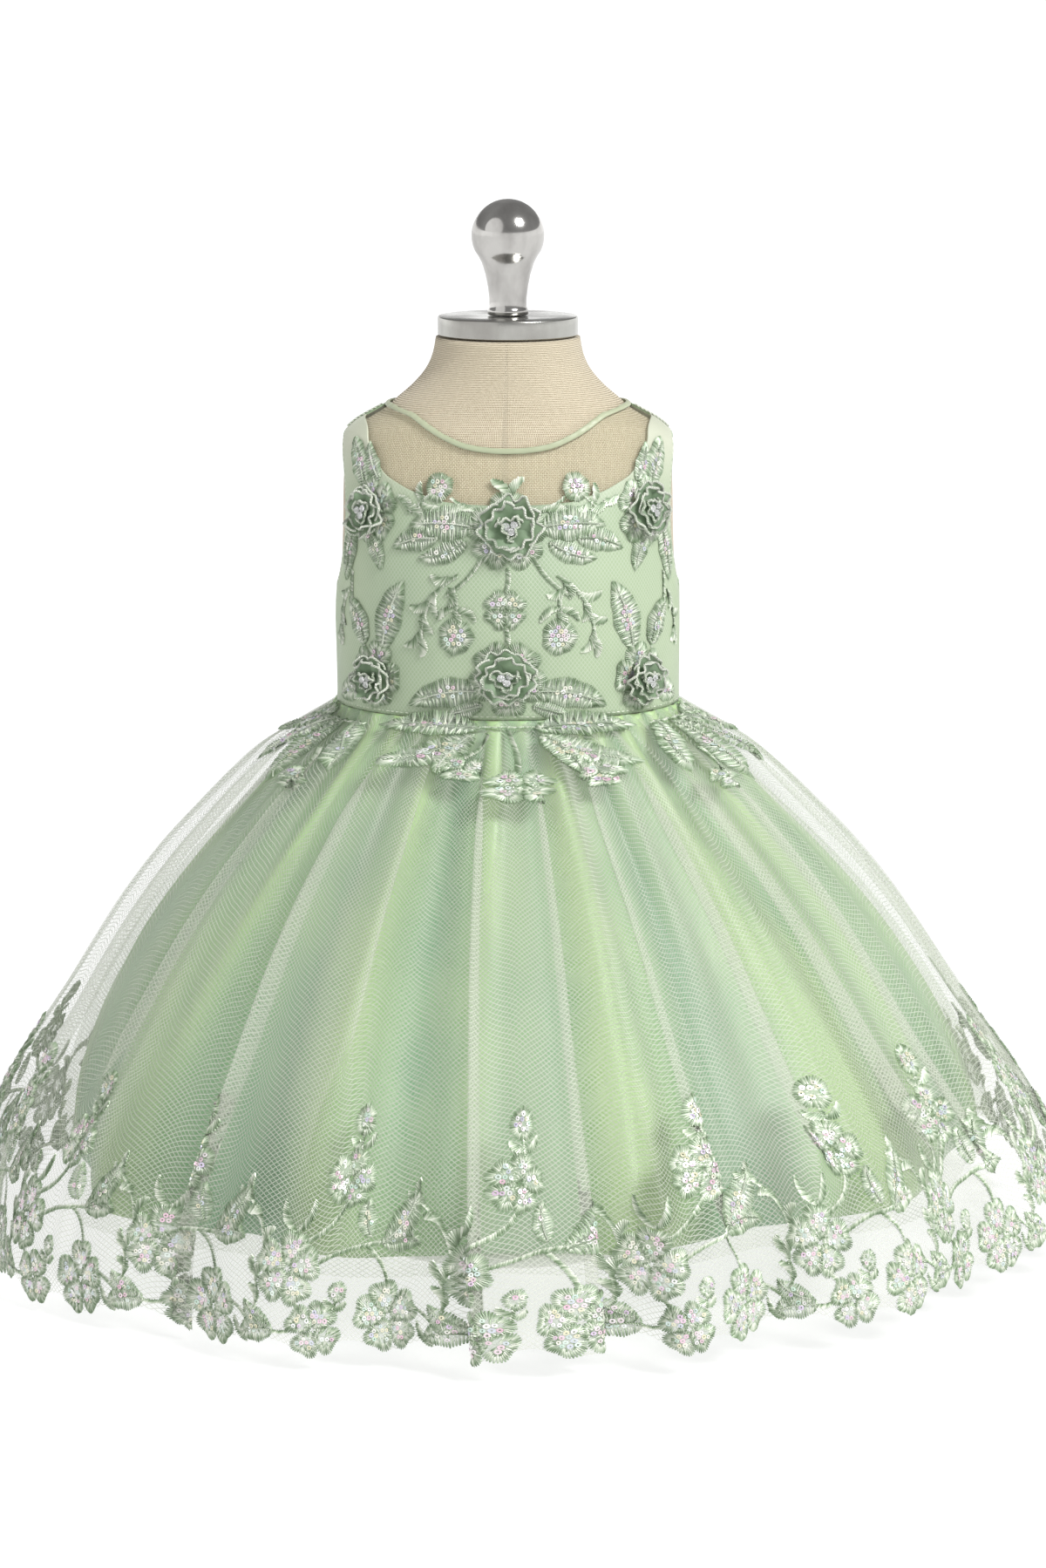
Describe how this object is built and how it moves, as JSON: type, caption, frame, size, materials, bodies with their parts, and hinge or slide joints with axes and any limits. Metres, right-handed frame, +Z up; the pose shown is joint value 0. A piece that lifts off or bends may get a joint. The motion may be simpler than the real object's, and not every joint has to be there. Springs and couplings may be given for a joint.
{
  "type": "baby's pageant dress on a limbless dress form",
  "caption": "Sleeveless baby's pageant dress with a sheer yoke, lace sprays, cloth roses and a full net skirt with a lace hem, on a limbless dress form.",
  "frame": {"origin": "on the surface the form stands on, at the centre of its base plate", "axes": "+Z up, -Y towards the front of the dress, +X to the right as seen from the front"},
  "size_m": [0.5833, 0.5653, 0.549],
  "materials": {
    "satin": "satin",
    "net": "sheer net",
    "binding": "satin",
    "lace": "embroidered",
    "rose_cloth": "organza",
    "linen": "plain weave",
    "chrome": "polished, lightly tarnished",
    "white_enamel": "smooth"
  },
  "bodies": {
    "root": {"form_torso": "linen", "form_cap": "chrome", "form_knob": "chrome", "form_pole": "chrome", "form_base": "white_enamel", "bodice_front": "satin", "bodice_back_right": "satin", "bodice_back_left": "satin", "back_placket": "satin", "back_button_1": "satin", "back_button_2": "satin", "back_button_3": "satin", "back_button_4": "satin", "back_button_5": "satin", "skirt_satin_front": "satin", "skirt_satin_back": "satin", "yoke_front": "net", "skirt_plain_net_front": "net", "skirt_plain_net_back": "net", "skirt_lace_net_front": "net", "skirt_lace_net_back": "net", "neck_binding": "binding", "bodice_lace_middle": "lace", "bodice_lace_right": "lace", "bodice_lace_left": "lace", "waist_lace_middle": "lace", "waist_lace_right": "lace", "waist_lace_left": "lace", "hem_lace_front": "lace", "hem_lace_right": "lace", "hem_lace_back": "lace", "hem_lace_left": "lace", "rose_top_middle": "rose_cloth", "rose_top_left": "rose_cloth", "rose_top_right": "rose_cloth", "rose_waist_middle": "rose_cloth", "rose_waist_left": "rose_cloth", "rose_waist_right": "rose_cloth"}
  },
  "joints": []
}
